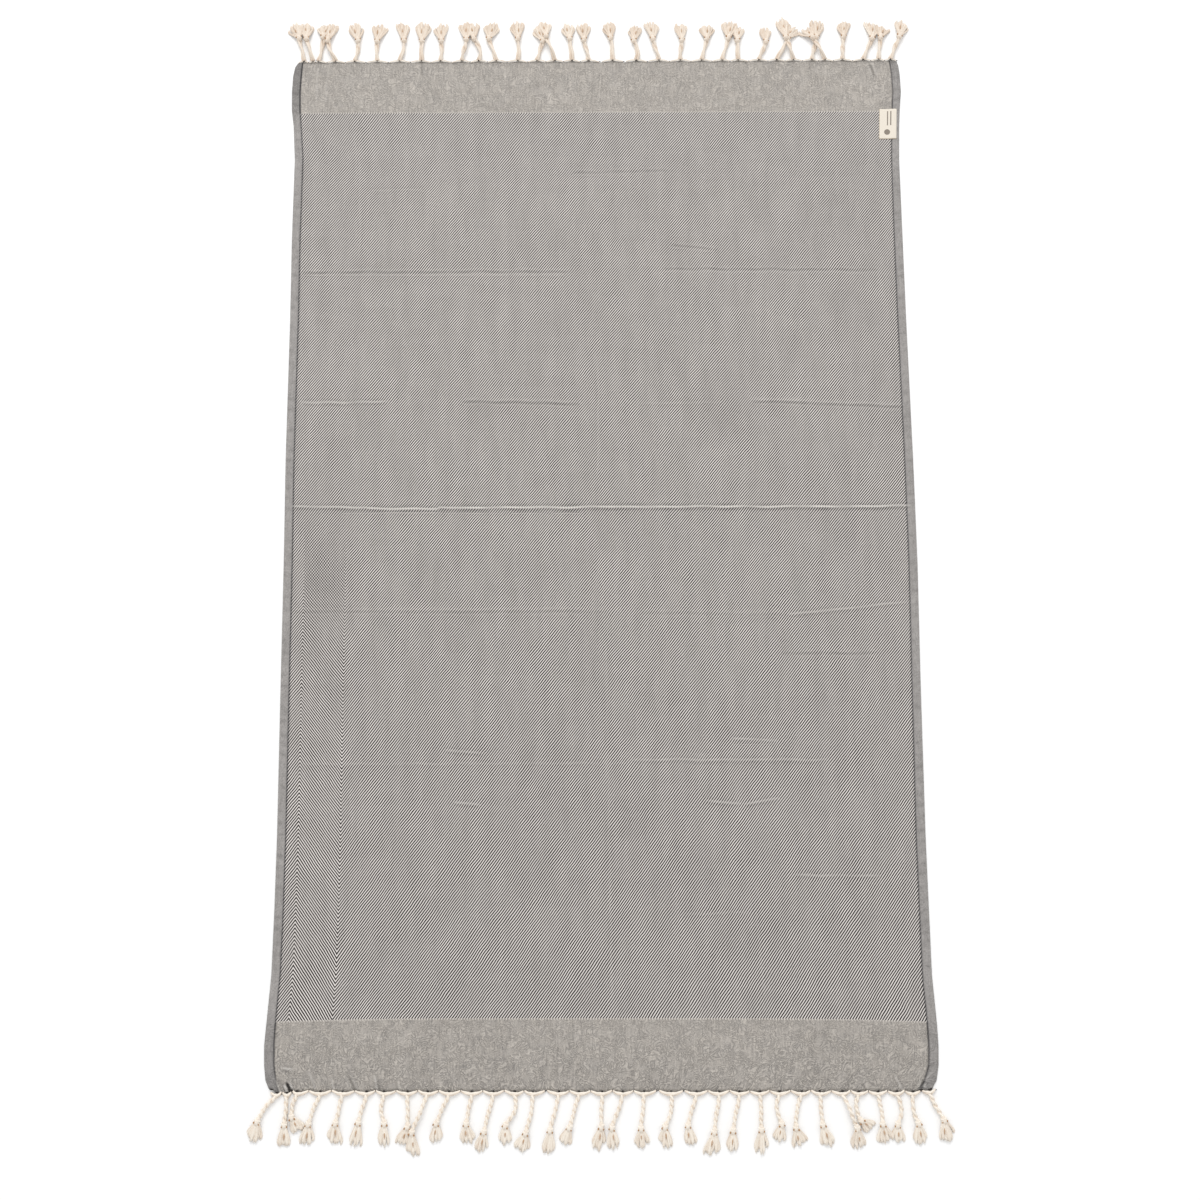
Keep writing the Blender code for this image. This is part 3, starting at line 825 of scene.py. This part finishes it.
def build_cloth(material):
    """The cloth as one closed sheet: a shaped upper face over a flat underside."""
    x, y, z, across, looks = cloth_grid()
    rows, columns = x.shape
    top = np.stack([x, y, z], axis=-1).reshape(-1, 3) * MM
    index = np.arange(rows * columns).reshape(rows, columns)
    rim = np.concatenate([index[0], index[1:, -1], index[-1, -2::-1], index[-2:0:-1, 0]]).tolist()
    under = top[rim].copy()
    under[:, 2] = 0.0
    first = rows * columns
    count = len(rim)
    faces = grid_faces(rows, columns)
    for step in range(count):
        after = (step + 1) % count
        faces.append([rim[step], rim[after], first + after, first + step])
    faces.append(list(range(first, first + count)))
    point_looks = {}
    for name, grid in looks.items():
        flat = grid.reshape(-1)
        point_looks[name] = np.concatenate([flat, flat[rim]]).astype(np.float32)
    uvs = np.stack([across, y], axis=-1).reshape(-1, 2) * MM
    points = np.concatenate([top, under]).tolist()
    mesh = new_mesh("cloth_weave", points, faces, point_looks, np.concatenate([uvs, uvs[rim]]))
    return new_object("cloth_weave", mesh, material)


# ---------- fringe

class YarnMesh:
    """Collects tubes of yarn into one mesh, with a tint at each vertex that paints light and shade as well as
    colour changes, and a share of dark colour.
    """

    def __init__(self, dusk):
        self.dusk = dusk
        self.points = []
        self.faces = []
        self.tints = []
        self.dark_shares = []

    def tube(self, rings, sides, dark_share=None, flat=1.0):
        """A closed tube through rings, each a place in mm, a radius and a tint; flat squeezes it."""
        count = len(rings)
        first = len(self.points)
        side = Vector((0.0, 0.0, 1.0))
        for step, (place, radius, tint) in enumerate(rings):
            ahead = rings[min(step + 1, count - 1)][0] - rings[max(step - 1, 0)][0]
            ahead.normalize()
            side = side - ahead * side.dot(ahead)
            if side.length < 0.001:
                side = ahead.orthogonal()
            side.normalize()
            other = ahead.cross(side)
            for turn in range(sides):
                angle = math.tau * turn / sides
                out = side * math.cos(angle) * radius + other * math.sin(angle) * radius
                out.z *= flat
                point = place + out
                point.z = max(point.z, LOWEST_YARN)
                self.points.append(point * MM)
                self.tints.append(tint)
                self.dark_shares.append(self.dusk if dark_share is None else dark_share)
        for step in range(count - 1):
            for turn in range(sides):
                after = (turn + 1) % sides
                low = first + step * sides
                self.faces.append((low + turn, low + after, low + sides + after, low + sides + turn))
        self.faces.append(tuple(first + turn for turn in reversed(range(sides))))
        self.faces.append(tuple(first + (count - 1) * sides + turn for turn in range(sides)))

    def finish(self, name, material):
        """Turn what was collected into an object."""
        points = [tuple(point) for point in self.points]
        mesh = new_mesh(name, points, self.faces, {"tint": self.tints, "dark_share": self.dark_shares})
        return new_object(name, mesh, material)


def cord_axis(tassel, start_y, outward, sag, part):
    """Point on a tassel's cord, from its root at 0 to its knot at 1."""
    sway = math.sin(math.pi * part)
    x = tassel.root + tassel.lean * part + tassel.bow * sway
    y = start_y + outward * (tassel.cord - sag) * part
    z = CORD_HEIGHT + CORD_RISE * float(smooth(part * 3.0)) + tassel.lift * sway
    return Vector((x, y, z))


def frame_of(ahead):
    """Directions across and above a yarn that runs ahead."""
    across = ahead.cross(Vector((0.0, 0.0, 1.0))).normalized()
    return across, across.cross(ahead)


def add_crescent(yarn, tassel, reaches, edge, outward, gather, draw):
    """Warp gathered from both sides of a root: it hangs from the cloth's end like a smile."""
    start = draw.uniform(0.0, 6.0)
    uneven = draw.uniform(-0.6, 0.6)
    for strand in range(CRESCENT_STRANDS):
        rings = []
        for step in range(CRESCENT_STEPS + 1):
            place = 2.0 * step / CRESCENT_STEPS - 1.0
            reach = reaches[0] if place < 0.0 else reaches[1]
            near_root = float(hanging(place))
            thick = gather.tip + (gather.middle - gather.tip) * near_root
            angle = start + 2.1 * strand + 2.6 * place
            x = tassel.root + place * reach * 1.04
            hang = gather.sag * near_root + uneven * place - 0.2
            y = edge + outward * (hang + 0.5 * thick * math.cos(angle))
            z = 1.9 + 0.9 * near_root + 0.42 * thick * math.sin(angle)
            # Painted light and shade: lighter on top, darker on the outer side and at the tips.
            tint = 0.86 + 0.06 * math.sin(angle) - 0.16 * math.cos(angle) - 0.12 * abs(place) ** 4
            rings.append((Vector((x, y, z)), thick * 0.62, tint))
        yarn.tube(rings, 7)


def add_cord(yarn, axis, length, gather, draw):
    """Two plies twisted round each other, from the crescent to the knot."""
    steps = max(24, int(length / CORD_STEP))
    offset = draw.uniform(-0.4, 0.4)
    wobble = draw.uniform(0.0, 6.0)
    for ply in range(2):
        rings = []
        for step in range(steps + 1):
            part = step / steps
            here = axis(part)
            across, up = frame_of((axis(part + 0.01) - here).normalized())
            angle = math.tau * (part * length / gather.twist + offset * part) + math.pi * ply
            spread = PLY_OFFSET * gather.ply * (1.0 + 0.12 * math.sin(9.0 * part + wobble))
            here = here + across * 0.6 * math.sin(7.0 * part + wobble) * math.sin(math.pi * part)
            here = here + across * math.cos(angle) * spread + up * math.sin(angle) * spread * 0.9
            # Painted tan shade where the plies cross, in the crevice between them.
            shut_in = math.exp(-((math.sin(angle) + 0.15) / 0.38) ** 2)
            tint = gather.pale - 0.05 - gather.fleck * shut_in
            rings.append((here, PLY_RADIUS * gather.ply * (1.0 - 0.06 * part), tint))
        yarn.tube(rings, 8)


def add_knot(yarn, middle, ahead, gather, draw):
    """An overhand knot: a wrap of yarn round the cord, painted lighter on top, with two ears where it is
    pulled tight and pits of painted shade beside them.
    """
    across, up = frame_of(ahead)
    start = draw.uniform(0.0, math.tau)
    rings = []
    for step in range(KNOT_STEPS + 1):
        part = step / KNOT_STEPS
        angle = start + math.tau * KNOT_TURNS * part
        swell = KNOT_WRAP_RADIUS * float(smooth(min(part, 1.0 - part) * 5.0))
        run = (part - 0.5) * KNOT_LENGTH + 0.8 * math.sin(angle + 0.7)
        point = middle + ahead * run + across * math.cos(angle) * swell + up * math.sin(angle) * swell * 0.8
        # The wrap is painted lighter on its upper side.
        rings.append((point, KNOT_YARN_RADIUS, gather.pale - 0.05 + 0.06 * math.sin(angle)))
    yarn.tube(rings, 8)
    rings = []
    for place, radius, darker in KNOT_CORE:
        rings.append((middle + ahead * place + up * 0.8, radius, gather.pale - darker))
    yarn.tube(rings, 8)
    # Ears, darker towards the tuft, and pits of painted shade beside them.
    for side in (-1.0, 1.0):
        along = gather.ear + draw.uniform(-0.5, 0.7)
        share = draw.uniform(0.7, 1.15)
        ear = middle + across * side * 3.5 + ahead * along
        yarn.tube([(ear - ahead * 1.6, 0.9, 0.85), (ear, 1.7, 0.88), (ear + ahead * 1.4, 0.7, 0.6)], 7)
        pit = middle + across * side * 4.0 + ahead * (along + 1.3) + up * 1.9
        half = ahead * 1.4 * share
        yarn.tube([(pit - half, 0.5, 0.0), (pit, 1.35 * share, 0.0), (pit + half, 0.5, 0.0)], 6)


def flare(part, gather):
    """How far a tuft has opened, as a share of its width, at a part of its length."""
    opened = min(1.0, part / gather.widest)
    round_open = math.sin(0.5 * math.pi * opened) ** 1.35
    share = 0.22 + 0.78 * (round_open + (opened ** 1.3 - round_open) * gather.straight)
    past = max(0.0, part - gather.widest) / (1.0 - gather.widest)
    return share * (1.0 - gather.close * past * past)


def add_tuft(yarn, start, ahead, length, gather, draw):
    """Cut ends in clumps: they flare from the knot like a brush and lie on the surface."""
    across, _ = frame_of(ahead)
    width = gather.tuft * draw.uniform(0.84, 1.1)
    blunt = draw.uniform(0.04, 0.24)
    tilt = draw.uniform(-0.16, 0.16)
    twist = draw.uniform(-0.10, 0.10)
    lobes = draw.choice((2.0, 3.0))
    lobe_shift = draw.uniform(0.0, math.tau)
    # A flat body under the locks; its tan tint paints the shade seen between them.
    rings = []
    for place, high, radius, tint in TUFT_BODY:
        point = start + ahead * length * place
        point.z = high
        rings.append((point, radius, tint))
    yarn.tube(rings, 12, flat=0.36)
    for lock in range(TUFT_LOCKS):
        share = 2.0 * (lock + 0.5) / TUFT_LOCKS - 1.0 + draw.uniform(-0.07, 0.07)
        share += gather.lobe * math.sin(lobes * math.pi * share + lobe_shift)
        layer = draw.random()
        dome = math.sqrt(max(0.1, 1.0 - share * share))
        high = STRAND_RADIUS + (0.3 + 0.7 * layer) * (TUFT_HEIGHT - 1.6) * dome
        reach = length * draw.uniform(0.84, 1.08) * (1.0 - (blunt + tilt * share) * share * share)
        curl = draw.uniform(-1.3, 1.3)
        wave = draw.uniform(2.0, 4.5)
        lock_tint = gather.pale + draw.uniform(-0.09, 0.05)
        for strand in range(LOCK_YARNS):
            beside = (strand - 1.0) * 0.95 + draw.uniform(-0.25, 0.25)
            cut = reach * draw.uniform(0.92, 1.04)
            rings = []
            for step in range(TUFT_STEPS + 1):
                part = step / TUFT_STEPS
                spread = (share + twist * part) * width * flare(part, gather)
                spread += curl * math.sin(wave * part) * part
                spread += beside * (0.4 + 0.9 * math.sin(math.pi * part * 0.85))
                rise = start.z + 1.2 + (high - start.z - 1.2) * float(smooth(part * 1.4))
                point = start + ahead * (cut * part - 0.8) + across * spread
                point.z = rise - 0.35 * high * part ** 3 - 0.35 * abs(strand - 1.0)
                thick = 0.85 + 0.3 * math.sin(math.pi * min(1.0, part * 0.95 + 0.1))
                radius = STRAND_RADIUS * (thick if step < TUFT_STEPS else 0.55)
                # Painted shade: darker near the knot, on lower locks and on a lock's outer, lower yarns.
                depth_shade = 0.06 * (1.0 - float(smooth(part * 3.5))) + 0.12 * (1.0 - layer)
                rings.append((point, radius, lock_tint - depth_shade - 0.09 * abs(strand - 1.0)))
            yarn.tube(rings, 5)
    if draw.random() < 0.92:
        place = draw.uniform(-0.22, 0.22)
        begin = draw.uniform(0.24, 0.36)
        rings = []
        for step, (radius, tint) in enumerate(TUFT_SHADOW):
            part = begin + 0.11 * step
            point = start + ahead * length * part + across * place * width * (0.4 + part)
            point.z = TUFT_HEIGHT + 0.3 - 1.2 * part
            rings.append((point, radius, tint))
        yarn.tube(rings, 6, flat=0.8)


def add_shade_patch(yarn, x, y, z, half, thick, outward):
    """A small dark patch of painted shade, put in a gap in the yarn where shade falls."""
    rings = []
    for step, share in zip((-2, -1, 0, 1, 2), (0.4, 0.85, 1.0, 0.85, 0.4)):
        place = Vector((x + half * step / 2.0, y + 0.25 * outward * (2 - abs(step)), z))
        rings.append((place, thick * share, 0.0))
    yarn.tube(rings, 6, dark_share=1.0)


def build_fringe(name, tassels, outward, end_line, gather, material):
    """One end's fringe: crescents, twisted cords, knots and tufts of every tassel."""
    yarn = YarnMesh(gather.dusk)
    draw = random.Random(name)
    for number, tassel in enumerate(tassels):
        reaches = reaches_of(tassels, number)
        edge = float(end_line(tassel.root)) + outward * 0.5
        axis = partial(cord_axis, tassel, edge + outward * gather.sag, outward, gather.sag)
        add_crescent(yarn, tassel, reaches, edge, outward, gather, draw)
        add_cord(yarn, axis, math.hypot(tassel.lean, tassel.cord - gather.sag), gather, draw)
        half = draw.uniform(1.3, 2.4)
        add_shade_patch(yarn, tassel.root, edge + outward * gather.dark_out, 3.3, half, gather.dark_thick, outward)
        add_shade_patch(yarn, tassel.root + reaches[1] + NEIGHBOUR_GAP / 2.0, edge, 1.5, 1.8, 0.7, outward)
        knot = axis(1.0)
        aim = Vector((tassel.turn, outward * tassel.tuft, 0.0)).normalized()
        ahead = ((knot - axis(0.96)).normalized() + aim).normalized()
        knot.z = KNOT_HEIGHT + KNOT_LIFT * tassel.lift
        add_knot(yarn, knot, ahead, gather, draw)
        length = math.hypot(tassel.turn, tassel.tuft) * TUFT_STRETCH
        add_tuft(yarn, knot + aim * TUFT_START, aim, length - TUFT_START, gather, draw)
    if outward < 0:
        # Painted shade patches in the openings at the near corners, where hem and cloth part.
        for x, half, thick in CORNER_GAPS:
            add_shade_patch(yarn, x, float(near_end(x)) + 0.6, 2.6, half, thick, -1.0)
    return yarn.finish(name, material)


# ---------- label

def build_label(material):
    """Woven tape label that lies over the hem's inner edge and is sewn at its sides."""
    hem_edge = outline_at((LABEL_NEAR + LABEL_FAR) / 2.0, "right") - HEM_INSET
    u, y = np.meshgrid(
        np.linspace(LABEL_LEFT, LABEL_RIGHT, LABEL_COLUMNS + 1),
        np.linspace(LABEL_FAR, LABEL_NEAR, LABEL_ROWS + 1),
    )
    x = u - LABEL_SKEW * (LABEL_FAR - y) / (LABEL_FAR - LABEL_NEAR)
    z = FIELD_TOP + LABEL_CLEAR + LABEL_CLIMB * smooth((x - hem_edge + 3.5) / 5.0)
    z += 0.12 * np.sin(x * 0.33 + 1.0) * np.sin(y * 0.21)
    z[1:-1, [0, -1]] -= LABEL_EDGE_DROP
    z[[0, -1]] -= LABEL_EDGE_DROP
    points = np.stack([x, y, z], axis=-1).reshape(-1, 3) * MM
    uvs = np.stack([u, y], axis=-1).reshape(-1, 2) * MM
    mesh = new_mesh("label_tape", points.tolist(), grid_faces(*x.shape), {}, uvs)
    label = new_object("label_tape", mesh, material)
    body = label.modifiers.new("body", "SOLIDIFY")
    body.thickness = LABEL_THICKNESS * MM
    body.offset = 0.0
    return label


# ---------- stage, light, camera

CAMERA_DISTANCE = 2.92  # metres, from the camera to the point it aims at
CAMERA_TILT = math.radians(12.0)
CAMERA_AIM_Y = -0.080
CAMERA_LENS = 55.53
CAMERA_SENSOR = 36.0
FLOOR_HALF = 14.0  # metres, as is the rest of this block
FLOOR_DROP = 0.0003
FLOOR_WHITE = (0.95, 0.95, 0.95, 1.0)
SKY_STRENGTH = 0.88
KEY_SIZE = 3.6
KEY_PLACE = (-0.9, 6.0, 5.0)
KEY_WATTS = 280.0


def build_camera():
    """The camera hangs above the towel and looks down, a little from the near end."""
    data = bpy.data.cameras.new("camera")
    data.lens = CAMERA_LENS
    data.sensor_width = CAMERA_SENSOR
    camera = new_object("camera", data)
    camera.location = (
        0.0,
        CAMERA_AIM_Y - CAMERA_DISTANCE * math.sin(CAMERA_TILT),
        CAMERA_DISTANCE * math.cos(CAMERA_TILT),
    )
    camera.rotation_euler = (CAMERA_TILT, 0.0, 0.0)
    bpy.context.scene.camera = camera


def build_floor():
    """Plain white floor under the towel."""
    shade = Shade("floor", 0.9)
    shade.feed("Base Color", FLOOR_WHITE)
    corners = [(x * FLOOR_HALF, y * FLOOR_HALF, -FLOOR_DROP) for x, y in ((-1, -1), (1, -1), (1, 1), (-1, 1))]
    mesh = bpy.data.meshes.new("floor")
    mesh.from_pydata(corners, [], [(0, 1, 2, 3)])
    floor = new_object("floor", mesh, shade.material)


def build_light():
    """White surroundings, and a soft key light from beyond the far end."""
    world = bpy.data.worlds.new("surroundings")
    world.use_nodes = True
    background = world.node_tree.nodes["Background"]
    background.inputs["Color"].default_value = (1.0, 1.0, 1.0, 1.0)
    background.inputs["Strength"].default_value = SKY_STRENGTH
    bpy.context.scene.world = world
    data = bpy.data.lights.new("key", "AREA")
    data.shape = "RECTANGLE"
    data.size = KEY_SIZE
    data.size_y = KEY_SIZE
    data.energy = KEY_WATTS
    key = new_object("key", data)
    key.location = KEY_PLACE
    key.rotation_euler = (-key.location).to_track_quat("-Z", "Y").to_euler()
    key.visible_camera = False
    bpy.context.scene.view_settings.view_transform = "Standard"


# ---------- the towel

weave = weave_material()
yarn_look = yarn_material()
cloth = build_cloth(weave)
fringe_far = build_fringe("fringe_far_yarn", FAR_TASSELS, 1.0, far_end, FAR_GATHER, yarn_look)
fringe_near = build_fringe("fringe_near_yarn", NEAR_TASSELS, -1.0, near_end, NEAR_GATHER, yarn_look)
label = build_label(label_material())

for piece, node, slot in (
    (cloth, "cloth", "weave"),
    (fringe_far, "fringe_far", "yarn"),
    (fringe_near, "fringe_near", "yarn"),
    (label, "label", "label_weave"),
):
    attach(piece, "root")
    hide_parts(node)

build_floor()
build_light()
build_camera()
